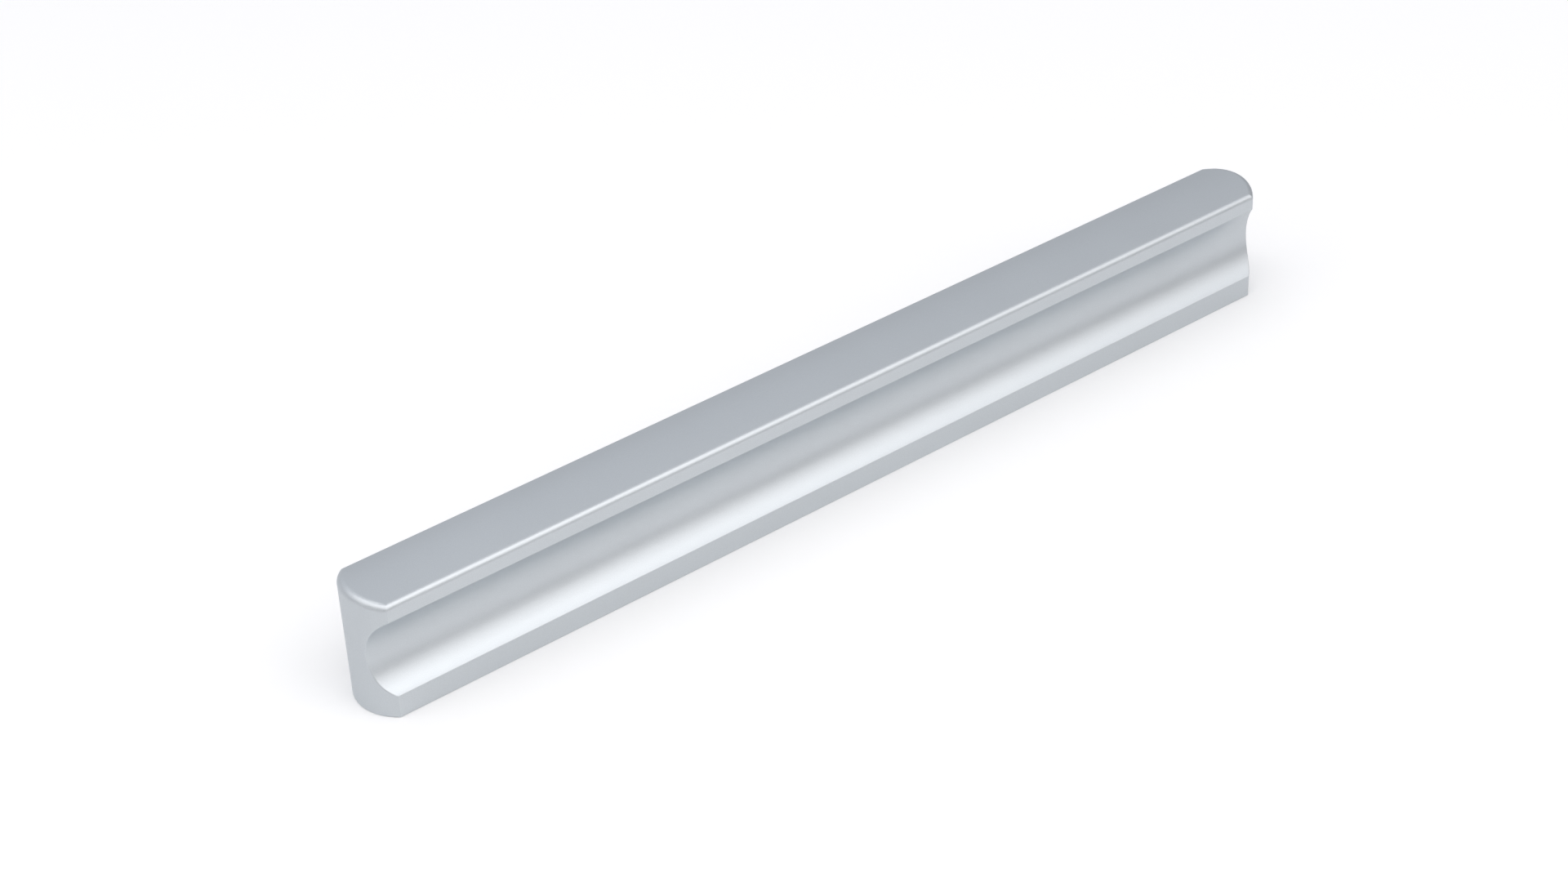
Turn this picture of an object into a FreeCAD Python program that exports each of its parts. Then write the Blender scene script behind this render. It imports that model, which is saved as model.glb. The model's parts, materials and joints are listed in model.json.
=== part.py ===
import FreeCAD, Part
import math
import os

os.makedirs("parts", exist_ok=True)

# A one-piece pull for a drawer or a cabinet door: a solid bar with a finger groove along one long side.
# It stands on its mounting face, as it does against the door, and its outer face is on top.
# X runs along the bar, Y from the grooved side to the plain back, and Z away from the door.
# The origin is the middle of the mounting face. All sizes are in millimetres.

# Overall sizes of the bar.
LENGTH = 200.0
WIDTH = 13.6

# The outer face falls a little to the grooved side, and it is slightly domed across the width. The heights
# are those of its two edges before they are rounded, and the crown is how far its middle stands above the
# straight line between them.
BACK_HEIGHT = 22.3
FRONT_HEIGHT = 21.8
CROWN = 0.93

# Each end is an arc seen from above. This is how far its middle stands past the corners.
END_BULGE = 3.3

# The finger groove lies between a lip at the top and a foot at the bottom, which are flat in front.
LIP_FACE = 3.0
FOOT_FACE = 4.3
GROOVE_DEPTH = 3.8

# The outer face has rounded edges. The other edges are only broken, so that they aren't sharp.
OUTER_ROUND = 1.2
EDGE_BREAK = 0.2

# Two blind tapped holes in the mounting face take screws that come through the door. The tapped length has
# the thread's full diameter, without its fine ridges. Above it, the drilled core goes on to its point.
HOLE_SPACING = 160.0
SCREW_DIAMETER = 4.0
THREAD_PITCH = 0.7
TAPPED_LENGTH = 8.0
CORE_PAST_THREAD = 2.0
DRILL_POINT_ANGLE = 118.0
MOUTH_CHAMFER = 0.3

# How far the raw shapes run past each other, so that every cut is clean.
OVERRUN = 5.0

# How near two heights must be to count as the same.
SAME = 0.001

FRONT = -WIDTH / 2
BACK = WIDTH / 2
LIP_UNDERSIDE = FRONT_HEIGHT - LIP_FACE


def groove_arc(x):
    """The hollow of the finger groove at one place along the bar, from the lip down to the foot."""
    middle = (LIP_UNDERSIDE + FOOT_FACE) / 2
    return Part.Arc(
        FreeCAD.Vector(x, FRONT, LIP_UNDERSIDE),
        FreeCAD.Vector(x, FRONT + GROOVE_DEPTH, middle),
        FreeCAD.Vector(x, FRONT, FOOT_FACE),
    )


def crown_arc(x):
    """The domed outer face at one place along the bar, from the back to the front."""
    middle = (BACK_HEIGHT + FRONT_HEIGHT) / 2 + CROWN
    return Part.Arc(
        FreeCAD.Vector(x, BACK, BACK_HEIGHT),
        FreeCAD.Vector(x, 0, middle),
        FreeCAD.Vector(x, FRONT, FRONT_HEIGHT),
    )


def straight(x, start, end):
    """A straight side of the section, between two places given across the bar and up."""
    return Part.LineSegment(FreeCAD.Vector(x, *start), FreeCAD.Vector(x, *end))


def grooved_stock():
    """The long profile that the pull is cut from, with the same section all the way."""
    x = -LENGTH / 2 - OVERRUN
    sides = [
        straight(x, (FRONT, 0), (BACK, 0)),
        straight(x, (BACK, 0), (BACK, BACK_HEIGHT)),
        crown_arc(x),
        straight(x, (FRONT, FRONT_HEIGHT), (FRONT, LIP_UNDERSIDE)),
        groove_arc(x),
        straight(x, (FRONT, FOOT_FACE), (FRONT, 0)),
    ]
    section = Part.Face(Part.Wire([side.toShape() for side in sides]))
    return section.extrude(FreeCAD.Vector(LENGTH + 2 * OVERRUN, 0, 0))


def end_arc(side, z):
    """The curve of one end seen from above. side is 1 for the end at +X and -1 for the other."""
    corner = side * (LENGTH / 2 - END_BULGE)
    return Part.Arc(
        FreeCAD.Vector(corner, side * FRONT, z),
        FreeCAD.Vector(side * LENGTH / 2, 0, z),
        FreeCAD.Vector(corner, side * BACK, z),
    )


def plan_prism():
    """A block with the outline that the bar has from above, taller than the bar."""
    z = -OVERRUN
    corner = LENGTH / 2 - END_BULGE
    sides = [
        Part.LineSegment(FreeCAD.Vector(-corner, FRONT, z), FreeCAD.Vector(corner, FRONT, z)),
        end_arc(1, z),
        Part.LineSegment(FreeCAD.Vector(corner, BACK, z), FreeCAD.Vector(-corner, BACK, z)),
        end_arc(-1, z),
    ]
    outline = Part.Face(Part.Wire([side.toShape() for side in sides]))
    return outline.extrude(FreeCAD.Vector(0, 0, BACK_HEIGHT + CROWN + 2 * OVERRUN))


def round_outer_edges(bar):
    """Round the rim of the outer face, along both sides and across both ends."""
    rim = [edge for edge in bar.Edges if edge.BoundBox.ZMin > FRONT_HEIGHT - SAME]
    return bar.makeFillet(OUTER_ROUND, rim)


def break_other_edges(bar):
    """Break the edges of the mounting face, the lip, the foot and the groove's two ends."""
    heights = (0, FOOT_FACE, LIP_UNDERSIDE)
    edges = []
    for edge in bar.Edges:
        at_a_height = all(min(abs(v.Z - h) for h in heights) < SAME for v in edge.Vertexes)
        upright = edge.BoundBox.XLength < SAME and edge.BoundBox.YLength < SAME
        if at_a_height and not upright:
            edges.append(edge)
    return bar.makeFillet(EDGE_BREAK, edges)


def tapped_hole(x):
    """What the drill and the tap take out: a chamfered mouth, the tapped length, the core and its point."""
    thread = SCREW_DIAMETER / 2
    core = (SCREW_DIAMETER - THREAD_PITCH) / 2
    mouth = thread + MOUTH_CHAMFER
    core_start = TAPPED_LENGTH + thread - core
    core_end = TAPPED_LENGTH + CORE_PAST_THREAD
    tip = core / math.tan(math.radians(DRILL_POINT_ANGLE / 2))
    half = [
        FreeCAD.Vector(x, 0, -OVERRUN),
        FreeCAD.Vector(x + mouth, 0, -OVERRUN),
        FreeCAD.Vector(x + mouth, 0, 0),
        FreeCAD.Vector(x + thread, 0, MOUTH_CHAMFER),
        FreeCAD.Vector(x + thread, 0, TAPPED_LENGTH),
        FreeCAD.Vector(x + core, 0, core_start),
        FreeCAD.Vector(x + core, 0, core_end),
        FreeCAD.Vector(x, 0, core_end + tip),
    ]
    profile = Part.Face(Part.makePolygon(half + half[:1]))
    return profile.revolve(FreeCAD.Vector(x, 0, 0), FreeCAD.Vector(0, 0, 1), 360)


def pull_bar():
    """The whole pull, which is one solid."""
    bar = grooved_stock().common(plan_prism()).Solids[0]
    bar = break_other_edges(round_outer_edges(bar))
    for side in (-1, 1):
        bar = bar.cut(tapped_hole(side * HOLE_SPACING / 2))
    return bar.Solids[0]


bar = pull_bar()
print("pull_bar: valid", bar.isValid(), "volume", round(bar.Volume, 1), "faces", len(bar.Faces))
bar.exportStep("parts/pull_bar.step")
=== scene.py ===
# %% [markdown]
# Satin aluminium cabinet pull
#
# The object is one solid bar of aluminium. It screws to a drawer front or a cabinet door from behind,
# and the fingers hook into the long groove in its side. It has no other pieces and nothing moves.
#
# The construction model already holds its true form: the domed outer face, the curved ends, the round
# groove and the two tapped holes. So this lesson keeps that mesh as it is. What is left to do is what
# makes the bar look like metal: a camera, a pale floor, soft lamps, the finish, and the fine threads
# in the two holes, which are too small to be worth carrying in the construction model.
#
# The first step loads the model and notes its size. Everything is in metres, with X along the bar,
# Y from the grooved side to the plain back, and Z up from the mounting face.

# %% Load the bar
import json
import math

import bmesh
import bpy
from mathutils import Matrix, Vector


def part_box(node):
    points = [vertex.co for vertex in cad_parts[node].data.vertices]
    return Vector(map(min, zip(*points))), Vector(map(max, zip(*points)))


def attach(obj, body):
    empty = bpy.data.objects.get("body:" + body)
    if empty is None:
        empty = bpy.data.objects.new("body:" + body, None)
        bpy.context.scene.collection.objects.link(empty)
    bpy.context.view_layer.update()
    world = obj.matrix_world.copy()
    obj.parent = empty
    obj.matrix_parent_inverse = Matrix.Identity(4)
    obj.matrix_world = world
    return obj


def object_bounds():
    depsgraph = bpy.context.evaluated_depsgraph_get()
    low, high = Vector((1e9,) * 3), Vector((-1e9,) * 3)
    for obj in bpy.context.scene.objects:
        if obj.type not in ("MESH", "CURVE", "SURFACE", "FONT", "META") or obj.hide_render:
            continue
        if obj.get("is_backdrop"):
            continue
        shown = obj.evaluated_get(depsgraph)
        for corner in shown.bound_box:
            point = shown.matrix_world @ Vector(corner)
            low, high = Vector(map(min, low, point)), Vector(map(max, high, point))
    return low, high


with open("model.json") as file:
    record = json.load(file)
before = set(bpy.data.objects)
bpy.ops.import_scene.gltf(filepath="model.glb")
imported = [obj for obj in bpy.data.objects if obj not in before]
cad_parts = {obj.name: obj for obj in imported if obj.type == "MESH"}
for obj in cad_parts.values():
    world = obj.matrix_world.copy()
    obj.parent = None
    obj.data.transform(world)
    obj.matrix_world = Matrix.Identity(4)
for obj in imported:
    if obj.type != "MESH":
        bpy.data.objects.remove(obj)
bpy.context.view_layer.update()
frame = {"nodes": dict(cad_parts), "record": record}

MM = 0.001

bar = frame["nodes"]["pull_bar"]
bar_low, bar_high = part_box("pull_bar")
bar_size = bar_high - bar_low
print("bar size in mm:", [round(side / MM, 2) for side in bar_size])

# %% [markdown]
# The camera
#
# A long lens from a little over half a metre shows the bar from its front left end, from above. The
# place, the aim and the lens were found by fitting the bar's outlines to the photograph. They could be
# set by eye, but then errors of view would be mixed up with errors of shape.
# The photograph is also turned by about three degrees, so the camera is rolled about its own axis.

# %% Set up the camera
CAMERA_PLACE = Vector((-280.65, -351.09, 306.27)) * MM
CAMERA_AIM = Vector((-11.11, 0.88, 11.0)) * MM
CAMERA_ROLL = math.radians(-2.664)
CAMERA_LENS_MM = 70.335
SENSOR_WIDTH_MM = 36.0
NEAREST_SEEN = 0.01
FARTHEST_SEEN = 20.0


def make_camera():
    """Adds the camera, aims it and makes it the scene's own."""
    data = bpy.data.cameras.new("camera")
    data.lens = CAMERA_LENS_MM
    data.sensor_width = SENSOR_WIDTH_MM
    data.clip_start = NEAREST_SEEN
    data.clip_end = FARTHEST_SEEN
    camera = bpy.data.objects.new("camera", data)
    bpy.context.scene.collection.objects.link(camera)
    aim = (CAMERA_AIM - CAMERA_PLACE).to_track_quat("-Z", "Y").to_matrix()
    roll = Matrix.Rotation(CAMERA_ROLL, 3, "Z")
    camera.matrix_world = Matrix.Translation(CAMERA_PLACE) @ (aim @ roll).to_4x4()
    bpy.context.scene.camera = camera
    return camera


camera = make_camera()
camera_distance = (CAMERA_AIM - camera.location).length
print("camera stands", round(camera_distance, 3), "m from its aim")

# %% [markdown]
# Helpers for shader nodes
#
# Every material here is a small graph of nodes. In code, three helpers keep the graphs short to read.
# The first adds a node and fills in its inputs, each with a number, a colour or another node's output.
# The second does the same for one step of arithmetic, and the third starts a material with its Principled
# shader.

# %% Node helpers


def add_node(tree, kind, inputs=None, **settings):
    """Adds a node. inputs maps a socket's name or number to a value, or to an output to join to it."""
    node = tree.nodes.new(kind)
    for name, value in settings.items():
        setattr(node, name, value)
    for socket, value in (inputs or {}).items():
        if isinstance(value, bpy.types.NodeSocket):
            tree.links.new(value, node.inputs[socket])
        else:
            node.inputs[socket].default_value = value
    return node


def maths(tree, operation, *values):
    """One step of arithmetic. Each value is a number or an output. Returns the node's output."""
    return add_node(tree, "ShaderNodeMath", dict(enumerate(values)), operation=operation).outputs[0]


def start_material(name, shader_inputs):
    """A new material whose Principled shader has those inputs. Returns it, its tree and the shader."""
    material = bpy.data.materials.new(name)
    material.use_nodes = True
    tree = material.node_tree
    tree.nodes.clear()
    shader = add_node(tree, "ShaderNodeBsdfPrincipled", shader_inputs)
    add_node(tree, "ShaderNodeOutputMaterial", {"Surface": shader.outputs[0]})
    return material, tree, shader


# %% [markdown]
# The floor's paint
#
# The bar stands on a plain white surface that fills the picture. Its paint is diffuse, so that it catches
# the soft shadows round the bar. The camera sees a little light of its own on top of that, which brings
# the open floor up to white without putting more light on the bar. That light fades within about a
# centimetre of the bar, so that the shadow at the foot stays deep. The metal sees only a trace of it,
# because the bar would mirror the real paint, not a picture that is exposed until the paint goes white.

# %% White paint
PAINT_COLOUR = (0.87, 0.87, 0.87, 1.0)
PAINT_LIGHT_SEEN = 0.21
PAINT_LIGHT_MIRRORED = 0.03
SHADE_REACH = 12.0 * MM
SHADE_SAMPLES = 4


def white_paint(tree, path):
    """Diffuse white with a little light of its own. path holds the Light Path node's outputs."""
    seen = maths(tree, "MAXIMUM", path["Is Camera Ray"], path["Is Transmission Ray"])
    own_light = maths(tree, "MULTIPLY", seen, PAINT_LIGHT_SEEN)
    own_light = maths(tree, "MULTIPLY_ADD", path["Is Glossy Ray"], PAINT_LIGHT_MIRRORED, own_light)
    reach = {"Distance": SHADE_REACH}
    shade = add_node(tree, "ShaderNodeAmbientOcclusion", reach, samples=SHADE_SAMPLES)
    own_light = maths(tree, "MULTIPLY", own_light, shade.outputs["AO"])
    glow = add_node(tree, "ShaderNodeEmission", {"Strength": own_light})
    paint = add_node(tree, "ShaderNodeBsdfDiffuse", {"Color": PAINT_COLOUR})
    both = add_node(tree, "ShaderNodeAddShader", {0: paint.outputs[0], 1: glow.outputs[0]})
    return both.outputs[0]


# %% [markdown]
# Where the floor is clear
#
# The bar can also be looked at from below, so the floor is clear from that side. It could be taken away for
# such a view, but then one script wouldn't do for all of them. It is clear from above too where the bar
# hides it, so that light gets at the underside and into the two holes. That opening stops a little short
# of the bar's outline, and beside it light that has come less than a tenth of a millimetre from the bar
# passes through as well.

# %% Clear places
CONTACT_LENGTH = 0.1 * MM
OPENING_SHORT_OF_END = 4.5 * MM
OPENING_SHORT_OF_SIDE = 0.8 * MM


def clear_places(tree, path):
    """1 where the floor is clear and 0 where it is painted. path holds the Light Path node's outputs."""
    below = add_node(tree, "ShaderNodeNewGeometry").outputs["Backfacing"]
    touching = maths(tree, "LESS_THAN", path["Ray Length"], CONTACT_LENGTH)
    where = add_node(tree, "ShaderNodeTexCoord").outputs["Object"]
    part = add_node(tree, "ShaderNodeSeparateXYZ", {0: where}).outputs
    half_length = bar_high.x - OPENING_SHORT_OF_END
    half_width = bar_high.y - OPENING_SHORT_OF_SIDE
    along = maths(tree, "LESS_THAN", maths(tree, "ABSOLUTE", part["X"]), half_length)
    across = maths(tree, "LESS_THAN", maths(tree, "ABSOLUTE", part["Y"]), half_width)
    hidden = maths(tree, "MULTIPLY", along, across)
    return maths(tree, "MAXIMUM", maths(tree, "MAXIMUM", below, touching), hidden)


# %% [markdown]
# The floor itself
#
# One flat grid is enough, since nothing on the floor has a shape. It lies a hair below the bar, so that
# the two surfaces don't fight over which is in front.

# %% Make the floor
FLOOR_HALF_WIDTH = 0.5
FLOOR_SQUARES = 8
FLOOR_GAP = 0.02 * MM


def floor_material():
    """White paint that is clear from below, under the bar and where the bar touches it."""
    material = bpy.data.materials.new("white_floor")
    material.use_nodes = True
    tree = material.node_tree
    tree.nodes.clear()
    path = add_node(tree, "ShaderNodeLightPath").outputs
    clear = add_node(tree, "ShaderNodeBsdfTransparent").outputs[0]
    shaders = {0: clear_places(tree, path), 1: white_paint(tree, path), 2: clear}
    mixed = add_node(tree, "ShaderNodeMixShader", shaders)
    add_node(tree, "ShaderNodeOutputMaterial", {"Surface": mixed.outputs[0]})
    return material


def make_floor():
    """A flat square under the bar."""
    mesh = bpy.data.meshes.new("floor")
    shape = bmesh.new()
    bmesh.ops.create_grid(
        shape, x_segments=FLOOR_SQUARES, y_segments=FLOOR_SQUARES, size=FLOOR_HALF_WIDTH
    )
    bmesh.ops.translate(shape, verts=shape.verts, vec=(0, 0, bar_low.z - FLOOR_GAP))
    shape.to_mesh(mesh)
    shape.free()
    floor = bpy.data.objects.new("floor", mesh)
    bpy.context.scene.collection.objects.link(floor)
    mesh.materials.append(floor_material())
    floor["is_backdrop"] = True
    return floor


floor = make_floor()
print("floor is", 2 * FLOOR_HALF_WIDTH, "m wide and has", len(floor.data.polygons), "squares")

# %% [markdown]
# The room
#
# Metal shows its surroundings, so the light is what draws its form. The room could be a picture of a real
# studio, but for such a plain one a level that depends on the direction is enough. It is brighter overhead
# and behind the bar, which is where the outer face looks. It is brighter underneath too, for a look at the
# mounting face through the clear floor. The camera itself sees plain white past the floor.

# %% Make the room
ROOM_COLOUR = (0.95, 0.97, 1.02, 1.0)
BACKDROP_COLOUR = (1.0, 1.0, 1.0, 1.0)
ROOM_LEVEL = 0.11
ROOM_MORE_UPRIGHT = 0.54
ROOM_MORE_BEHIND = 0.38


def make_world():
    """A dim room that is brighter straight up, straight down and behind the bar."""
    world = bpy.data.worlds.new("dim_room")
    world.use_nodes = True
    tree = world.node_tree
    tree.nodes.clear()
    direction = add_node(tree, "ShaderNodeTexCoord").outputs["Generated"]
    part = add_node(tree, "ShaderNodeSeparateXYZ", {0: direction}).outputs
    upright = maths(tree, "ABSOLUTE", part["Z"])
    behind = maths(tree, "MAXIMUM", part["Y"], 0.0)
    level = maths(tree, "MULTIPLY_ADD", upright, ROOM_MORE_UPRIGHT, ROOM_LEVEL)
    level = maths(tree, "MULTIPLY_ADD", behind, ROOM_MORE_BEHIND, level)
    room = add_node(tree, "ShaderNodeBackground", {"Color": ROOM_COLOUR, "Strength": level})
    backdrop = add_node(tree, "ShaderNodeBackground", {"Color": BACKDROP_COLOUR, "Strength": 1.0})
    camera_ray = add_node(tree, "ShaderNodeLightPath").outputs["Is Camera Ray"]
    shaders = {0: camera_ray, 1: room.outputs[0], 2: backdrop.outputs[0]}
    mixed = add_node(tree, "ShaderNodeMixShader", shaders)
    add_node(tree, "ShaderNodeOutputWorld", {"Surface": mixed.outputs[0]})
    bpy.context.scene.world = world


make_world()
overhead = ROOM_LEVEL + ROOM_MORE_UPRIGHT
print("room level is", ROOM_LEVEL, "straight in front and", round(overhead, 2), "overhead")

# %% [markdown]
# The lamps
#
# Three soft lamps stand in the room. The tall one in front puts the bright band into the lower half of
# the groove and the thin line along the rounded edge, because those places face half way between the lamp
# and the camera. The weaker one at the right carries that band on into the hollow of the groove. The large
# one at the left stands close, so the bar and the floor grow darker towards the far end, and it throws the
# soft shadow past that end.
#
# They could be glowing panels, but a lamp's size, colour and strength are each one value to set. Each lamp
# is given by its distance and the direction that it lies in, which is how a photographer would move it.
# Its strength is written as a radiance, where 1 looks white, and turned into watts.

# %% Light the bar
LAMP_COLOUR = (1.03, 1.0, 0.985)

# name: metres from the bar, degrees to the right of straight in front, degrees up,
# width and height in degrees, radiance
LAMPS = {
    "front_softbox": (2.5, 23, 36, 34, 54, 1.12),
    "right_softbox": (2.5, 60, 38, 34, 50, 0.56),
    "left_softbox": (0.9, -64, 50, 84, 60, 0.9),
}


def make_lamp(name, distance, right, up, wide, high, radiance):
    """A soft rectangular lamp that faces the bar and fills that many degrees of its view."""
    data = bpy.data.lights.new(name, "AREA")
    data.shape = "RECTANGLE"
    data.color = LAMP_COLOUR
    data.size = 2 * distance * math.tan(math.radians(wide / 2))
    data.size_y = 2 * distance * math.tan(math.radians(high / 2))
    data.energy = radiance * math.pi * data.size * data.size_y
    lamp = bpy.data.objects.new(name, data)
    lamp.visible_camera = False
    bpy.context.scene.collection.objects.link(lamp)
    turn = math.radians(right)
    lift = math.radians(up)
    level_out = math.cos(lift)
    towards = Vector((math.sin(turn) * level_out, -math.cos(turn) * level_out, math.sin(lift)))
    aim = (-towards).to_track_quat("-Z", "Y").to_matrix().to_4x4()
    place = (bar_low + bar_high) / 2 + towards * distance
    lamp.matrix_world = Matrix.Translation(place) @ aim
    return lamp


for name, values in LAMPS.items():
    lamp = make_lamp(name, *values)
    size = (round(lamp.data.size, 2), round(lamp.data.size_y, 2))
    print(name, "is", size[0], "by", size[1], "m and gives", round(lamp.data.energy, 1), "W")

# %% [markdown]
# Blasted grain
#
# The bar's skin and the cut threads are the same metal, and two effects appear on both. Each effect is a
# node group, built once and placed in each material. A helper gives a new group its sockets.
#
# The first effect is blasted grain. Fine shot is thrown at the bar before it is anodised, which leaves
# pits of about a tenth of a millimetre. They are far too small to model, so a noise gives their height
# for a bump, and a much slower noise gives the faint clouds that no blasting quite avoids.

# %% Make the blasted grain
PIT_SIZE = 0.12 * MM
PIT_DETAIL = 2.0
CLOUD_SIZE = 14.0 * MM
CLOUD_DETAIL = 4.0


def start_group(name, inputs, outputs):
    """A new shader node group. inputs and outputs map each socket's name to its kind."""
    group = bpy.data.node_groups.new(name, "ShaderNodeTree")
    for label, kind in inputs.items():
        group.interface.new_socket(label, in_out="INPUT", socket_type="NodeSocket" + kind)
    for label, kind in outputs.items():
        group.interface.new_socket(label, in_out="OUTPUT", socket_type="NodeSocket" + kind)
    return group, group.nodes.new("NodeGroupInput").outputs, group.nodes.new("NodeGroupOutput").inputs


def blasted_grain_group():
    """Height of the fine pits and the slow clouds, both from 0 to 1. Pit Size is in metres."""
    group, given, result = start_group(
        "blasted_grain", {"Position": "Vector", "Pit Size": "Float"}, {"Pits": "Float", "Clouds": "Float"}
    )
    scale = maths(group, "DIVIDE", 1.0, given["Pit Size"])
    fine = {"Vector": given["Position"], "Scale": scale, "Detail": PIT_DETAIL}
    pits = add_node(group, "ShaderNodeTexNoise", fine)
    slow = {"Vector": given["Position"], "Scale": 1 / CLOUD_SIZE, "Detail": CLOUD_DETAIL}
    clouds = add_node(group, "ShaderNodeTexNoise", slow)
    group.links.new(pits.outputs[0], result["Pits"])
    group.links.new(clouds.outputs[0], result["Clouds"])
    return group


blasted_grain = blasted_grain_group()


def place_grain(tree, where):
    """Puts the grain into a material. Returns the group's outputs."""
    inputs = {"Position": where, "Pit Size": PIT_SIZE}
    return add_node(tree, "ShaderNodeGroup", inputs, node_tree=blasted_grain).outputs


print("pits are", round(PIT_SIZE / MM, 2), "mm wide and clouds", round(CLOUD_SIZE / MM, 1), "mm")

# %% [markdown]
# Turned rings
#
# A drill, a countersink or a tap leaves fine circles round its axis. Both holes lie on the X axis at the
# same distance from the middle, so folding X at the middle makes one formula serve both. The mask beside
# the rings marks what those tools have cut. It reaches just past the countersink, and it stops a little
# above the end of the holes, because the outer face right over them is as untouched as the rest.

# %% Make the turned rings
SCREW_HOLES = next(mount for mount in frame["record"]["mounts"] if mount["name"] == "screw_holes")
HOLE_OFFSET = SCREW_HOLES["dims"]["spacing_x_mm"] * MM / 2
THREAD_RADIUS = SCREW_HOLES["dims"]["hole_r_mm"] * MM
MOUTH_CHAMFER = 0.3 * MM
COUNTERSINK_RADIUS = THREAD_RADIUS + MOUTH_CHAMFER
CUT_PAST_MOUTH = 0.02 * MM
CUT_TOP = 12.0 * MM
RING_WIDTH = 0.06 * MM


def turned_rings_group():
    """Fine circles round both holes, and a mask that is 1 within Reach of their axes and below Top."""
    group, given, result = start_group(
        "turned_rings",
        {"Position": "Vector", "Ring Width": "Float", "Reach": "Float", "Top": "Float"},
        {"Rings": "Float", "Inside": "Float"},
    )
    part = add_node(group, "ShaderNodeSeparateXYZ", {0: given["Position"]}).outputs
    along = maths(group, "SUBTRACT", maths(group, "ABSOLUTE", part["X"]), HOLE_OFFSET)
    along_squared = maths(group, "MULTIPLY", along, along)
    radius = maths(group, "SQRT", maths(group, "MULTIPLY_ADD", part["Y"], part["Y"], along_squared))
    slant = maths(group, "ADD", radius, part["Z"])
    turns = maths(group, "DIVIDE", slant, given["Ring Width"])
    wave = maths(group, "SINE", maths(group, "MULTIPLY", turns, 2 * math.pi))
    group.links.new(maths(group, "MULTIPLY_ADD", wave, 0.5, 0.5), result["Rings"])
    near = maths(group, "LESS_THAN", radius, given["Reach"])
    low = maths(group, "LESS_THAN", part["Z"], given["Top"])
    group.links.new(maths(group, "MULTIPLY", near, low), result["Inside"])
    return group


turned_rings = turned_rings_group()


def place_rings(tree, where):
    """Puts the rings into a material. Returns the group's outputs."""
    inputs = {
        "Position": where,
        "Ring Width": RING_WIDTH,
        "Reach": COUNTERSINK_RADIUS + CUT_PAST_MOUTH,
        "Top": CUT_TOP,
    }
    return add_node(tree, "ShaderNodeGroup", inputs, node_tree=turned_rings).outputs


print("holes lie", round(HOLE_OFFSET / MM, 1), "mm from the middle of the bar")

# %% [markdown]
# The colours of the metal
#
# The skin has the cool pale grey of clear anodising. One flat colour would look like plastic under soft
# light, so it varies between a darker and a paler tone with the clouds and the pits. In the two holes the
# tools have cut through the skin, so the metal there is brighter.

# %% Colours of the metal
SATIN_DARK = (0.655, 0.690, 0.715, 1.0)
SATIN_PALE = (0.690, 0.727, 0.752, 1.0)
CUT_COLOUR = (0.82, 0.83, 0.84, 1.0)
PIT_TONE = 3.5


def mix_colours(tree, factor, first, second):
    """Blends two colours. Each is a colour or an output. Returns the node's colour output."""
    node = add_node(tree, "ShaderNodeMix", {0: factor}, data_type="RGBA")
    colour_inputs = [socket for socket in node.inputs if socket.type == "RGBA"]
    for socket, value in zip(colour_inputs, (first, second)):
        if isinstance(value, bpy.types.NodeSocket):
            tree.links.new(value, socket)
        else:
            socket.default_value = value
    return next(socket for socket in node.outputs if socket.type == "RGBA")


def skin_colour(tree, grain, cut):
    """The two tones of the skin, and the brighter metal where cut is 1."""
    pit_tone = maths(tree, "MULTIPLY_ADD", grain["Pits"], PIT_TONE, -PIT_TONE / 2)
    tone = maths(tree, "ADD", grain["Clouds"], pit_tone)
    skin = mix_colours(tree, tone, SATIN_DARK, SATIN_PALE)
    return mix_colours(tree, cut, skin, CUT_COLOUR)


# %% [markdown]
# The roughness and the relief of the skin
#
# Roughness is what makes the skin satin: lamps show as soft bands and nothing is mirrored. The clouds,
# the pits and the lines that the die left each make it a little rougher. The ends were cut later than the
# rest. The die's lines fade there, and the skin is rougher, so the ends' rims show a soft gleam and not a
# bright line. The relief is a bump of the same pits and lines, with rings added in the two holes.

# %% Roughness and relief
SATIN_ROUGHNESS = 0.40
ROUGHER_CLOUDS = 0.05
ROUGHER_PITS = 0.03
ROUGHER_LINES = 0.02
ROUGHER_ENDS = 0.2
CUT_ROUGHNESS = 0.28
PIT_DEPTH = 0.014 * MM
LINE_SPACING = 0.35 * MM
LINE_STRETCH = 0.01
LINE_DETAIL = 3.0
LINE_DEPTH = 0.006 * MM
RING_DEPTH = 0.0012 * MM


def die_lines(tree, where, facing_end):
    """Fine lines along the bar, from 0 to 1, that fade where facing_end is 1."""
    along = {"Vector": where, "Scale": (LINE_STRETCH, 1.0, 1.0)}
    stretch = add_node(tree, "ShaderNodeMapping", along)
    fine = {"Vector": stretch.outputs[0], "Scale": 1 / LINE_SPACING, "Detail": LINE_DETAIL}
    drawn = add_node(tree, "ShaderNodeTexNoise", fine)
    return maths(tree, "MULTIPLY", drawn.outputs[0], maths(tree, "SUBTRACT", 1.0, facing_end))


def skin_roughness(tree, grain, lines, facing_end, cut):
    """Satin all over, rougher on the ends and smoother where cut is 1."""
    smoothest = SATIN_ROUGHNESS - (ROUGHER_CLOUDS + ROUGHER_PITS + ROUGHER_LINES) / 2
    rough = maths(tree, "MULTIPLY_ADD", grain["Clouds"], ROUGHER_CLOUDS, smoothest)
    rough = maths(tree, "MULTIPLY_ADD", grain["Pits"], ROUGHER_PITS, rough)
    rough = maths(tree, "MULTIPLY_ADD", lines, ROUGHER_LINES, rough)
    rough = maths(tree, "MULTIPLY_ADD", facing_end, ROUGHER_ENDS, rough)
    return maths(tree, "MULTIPLY_ADD", cut, CUT_ROUGHNESS - SATIN_ROUGHNESS, rough)


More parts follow.
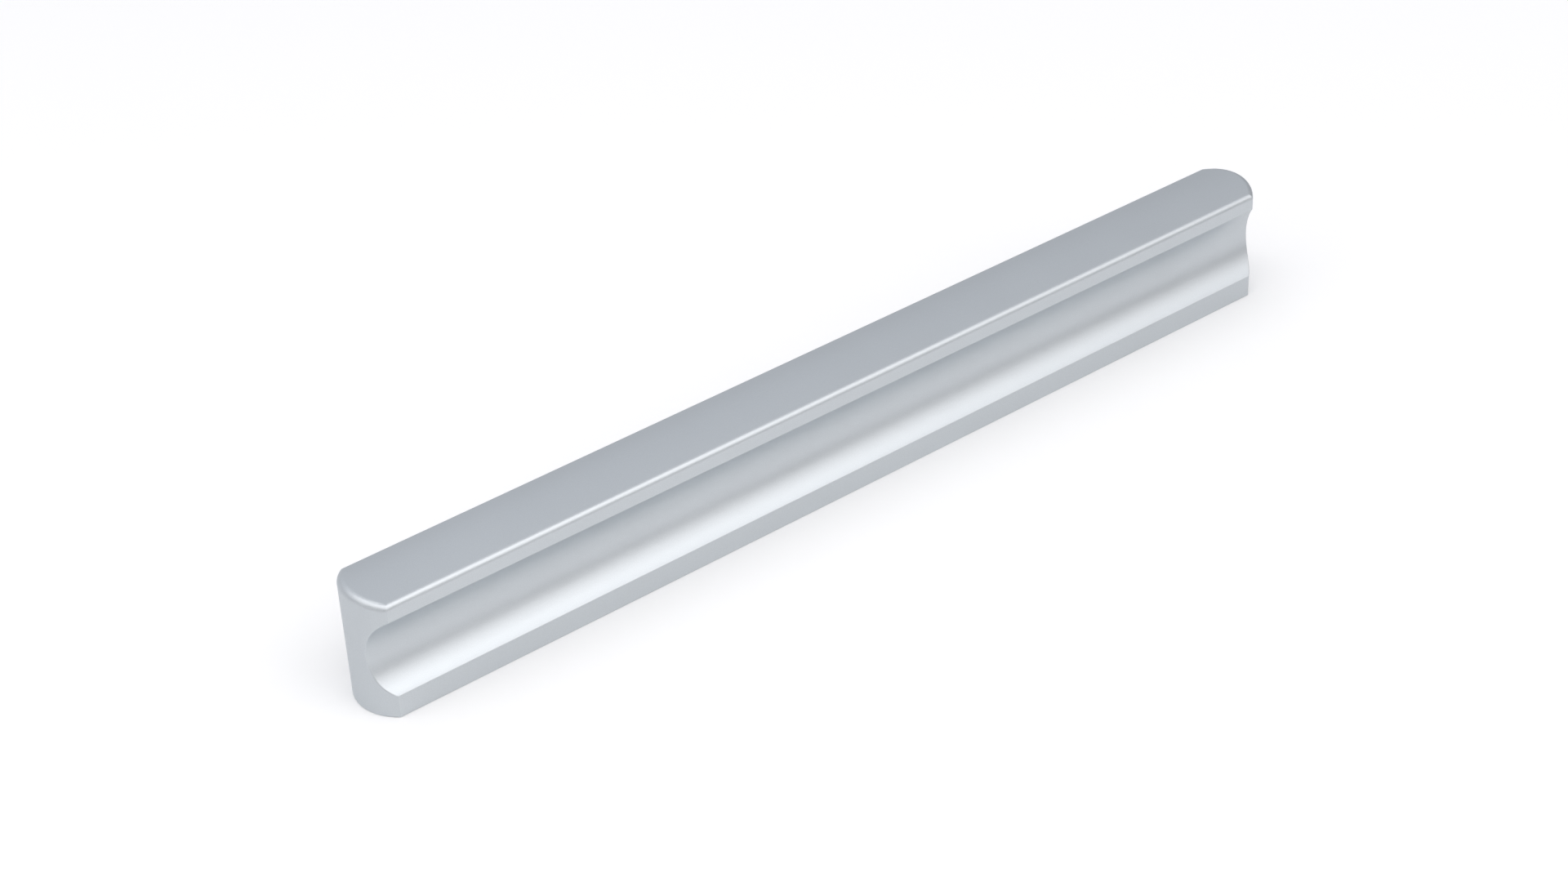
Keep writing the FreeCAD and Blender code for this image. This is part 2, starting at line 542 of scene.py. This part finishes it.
def skin_relief(tree, grain, lines, rings):
    """A bump of the pits and the lines, and of the rings inside the mask that comes with them."""
    height = maths(tree, "MULTIPLY", grain["Pits"], PIT_DEPTH)
    height = maths(tree, "MULTIPLY_ADD", lines, LINE_DEPTH, height)
    ring_height = maths(tree, "MULTIPLY", rings["Rings"], rings["Inside"])
    height = maths(tree, "MULTIPLY_ADD", ring_height, RING_DEPTH, height)
    return add_node(tree, "ShaderNodeBump", {"Height": height, "Distance": 1.0, "Strength": 1.0}).outputs[0]


# %% [markdown]
# The satin skin
#
# The bar is drawn through a die, cut, blasted and anodised. The metal is a Principled shader with full
# Metallic, and the helpers above give its colour, its roughness and its relief. The effects are faint:
# they would be missed if they weren't there, though none can be picked out from a step away.

# %% Make the satin skin


def satin_skin():
    """Blasted and anodised aluminium, with bright cut metal in the holes."""
    material, tree, shader = start_material("satin_skin", {"Metallic": 1.0})
    where = add_node(tree, "ShaderNodeTexCoord").outputs
    facing = add_node(tree, "ShaderNodeSeparateXYZ", {0: where["Normal"]}).outputs
    facing_end = maths(tree, "ABSOLUTE", facing["X"])
    grain = place_grain(tree, where["Object"])
    rings = place_rings(tree, where["Object"])
    lines = die_lines(tree, where["Object"], facing_end)
    cut = rings["Inside"]
    tree.links.new(skin_colour(tree, grain, cut), shader.inputs["Base Color"])
    tree.links.new(skin_roughness(tree, grain, lines, facing_end, cut), shader.inputs["Roughness"])
    tree.links.new(skin_relief(tree, grain, lines, rings), shader.inputs["Normal"])
    return material


bar.data.materials.clear()
bar.data.materials.append(satin_skin())
print("bar wears", bar.data.materials[0].name)

# %% [markdown]
# The metal of the threads
#
# A tap cuts into bare metal, so its threads are brighter and smoother than the skin, with fine rings round
# the hole. They could be one plain colour. Here it drifts with the clouds, between the paler tone of the
# skin and that of cut metal, so that the threads and the skin belong together.

# %% Make the cut metal
RING_ROUGHNESS = 0.06


def cut_thread():
    """Bright aluminium as the tap leaves it."""
    material, tree, shader = start_material("cut_thread", {"Metallic": 1.0})
    where = add_node(tree, "ShaderNodeTexCoord").outputs["Object"]
    rings = place_rings(tree, where)
    grain = place_grain(tree, where)
    colour = mix_colours(tree, grain["Clouds"], SATIN_PALE, CUT_COLOUR)
    tree.links.new(colour, shader.inputs["Base Color"])
    rough = maths(tree, "MULTIPLY_ADD", rings["Rings"], RING_ROUGHNESS, CUT_ROUGHNESS)
    tree.links.new(rough, shader.inputs["Roughness"])
    height = maths(tree, "MULTIPLY", rings["Rings"], RING_DEPTH)
    bump = add_node(tree, "ShaderNodeBump", {"Height": height, "Distance": 1.0, "Strength": 1.0})
    tree.links.new(bump.outputs[0], shader.inputs["Normal"])
    return material


cut_metal = cut_thread()
print("threads wear", cut_metal.name)

# %% [markdown]
# The section of the thread
#
# Each hole is tapped for an M4 screw. The construction model has the hole's wall at the thread's full
# diameter, so the thread itself is a ridge that winds up the wall. A bump would look right from straight
# below, but it has no edge and casts no shadow, so the ridge is a real shape.
#
# Its cross section is a 60 degree tooth with a flat top, and the standard makes its foot seven eighths of
# the pitch wide. The foot is sunk a little into the wall so that no gap shows. At the mouth the countersink
# has cut the first ridge away: every point that would stand in the countersink is pushed back behind its
# slope.

# %% Shape the tooth
PITCH = 0.7 * MM
TOOTH_ANGLE = math.radians(60)
TOOTH_SLOPE = math.tan(TOOTH_ANGLE / 2)
TOOTH_HALF_WIDTH = PITCH * 7 / 8 / 2
CORE_RADIUS = THREAD_RADIUS - PITCH / 2
SUNK = 0.05 * MM
HIDDEN = 0.01 * MM
THREAD_START = 0.25 * MM


def tooth_section(shape, x):
    """One face across the ridge, on the side of the hole that faces +X. Returns the face."""
    foot = TOOTH_HALF_WIDTH + SUNK * TOOTH_SLOPE
    top = TOOTH_HALF_WIDTH - (THREAD_RADIUS - CORE_RADIUS) * TOOTH_SLOPE
    outer = x + THREAD_RADIUS + SUNK
    inner = x + CORE_RADIUS + HIDDEN
    corners = [(outer, -foot), (outer, foot), (inner, top), (inner, -top)]
    return shape.faces.new([shape.verts.new((across, 0, THREAD_START + up)) for across, up in corners])


def cut_countersink(shape, x):
    """Pushes back whatever stands in the countersunk mouth of the hole."""
    for vert in shape.verts:
        vert.co.z = max(vert.co.z, HIDDEN)
        out = Vector((vert.co.x - x, vert.co.y, 0))
        least = COUNTERSINK_RADIUS - vert.co.z + HIDDEN
        if out.length < least:
            vert.co += out.normalized() * (least - out.length)


# %% [markdown]
# The threads
#
# The ridge could be drawn point by point along a helix. It is simpler to spin its cross section round the
# hole's axis and let it climb by one pitch a turn, which is just what the tap does. The last turn runs on
# past the tapped length into the solid metal, so that its end doesn't show.

# %% Wind the threads
THREAD_END = 8.8 * MM
STEPS_A_TURN = 40
SHARP_ANGLE = math.radians(25)


def wind_ridge(shape, x):
    """Spins the tooth up the wall of the hole at x. Returns the number of turns."""
    turns = (THREAD_END - THREAD_START) / PITCH
    steps = round(turns * STEPS_A_TURN)
    bmesh.ops.spin(
        shape,
        geom=[tooth_section(shape, x)],
        cent=(x, 0, 0),
        axis=(0, 0, 1),
        dvec=(0, 0, PITCH / STEPS_A_TURN),
        angle=math.tau * steps / STEPS_A_TURN,
        steps=steps,
        use_merge=False,
        use_duplicate=False,
    )
    return turns


def make_thread(name, x, material):
    """The ridge of one hole's thread, as a closed shell."""
    shape = bmesh.new()
    turns = wind_ridge(shape, x)
    cut_countersink(shape, x)
    bmesh.ops.recalc_face_normals(shape, faces=shape.faces)
    open_edges = sum(1 for edge in shape.edges if not edge.is_manifold)
    mesh = bpy.data.meshes.new(name)
    shape.to_mesh(mesh)
    shape.free()
    mesh.shade_smooth()
    mesh.set_sharp_from_angle(angle=SHARP_ANGLE)
    mesh.materials.append(material)
    thread = bpy.data.objects.new(name, mesh)
    bpy.context.scene.collection.objects.link(thread)
    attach(thread, "root")
    print(name, "has", round(turns, 1), "turns and", len(mesh.polygons), "faces, open edges:", open_edges)


for side, place in (("left", -HOLE_OFFSET), ("right", HOLE_OFFSET)):
    make_thread(side + "_thread", place, cut_metal)

# %% [markdown]
# The last step
#
# The colours are shown as they are, with no film look. The sizes of the model before and after are
# printed, so that they can be compared. Nothing may stand outside the bar, so the two must agree.

# %% Finish
bpy.context.scene.view_settings.view_transform = "Standard"

visual_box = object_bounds()
finished_size = visual_box[1] - visual_box[0]
print("finished piece spans", [round(side / MM, 2) for side in finished_size], "mm")
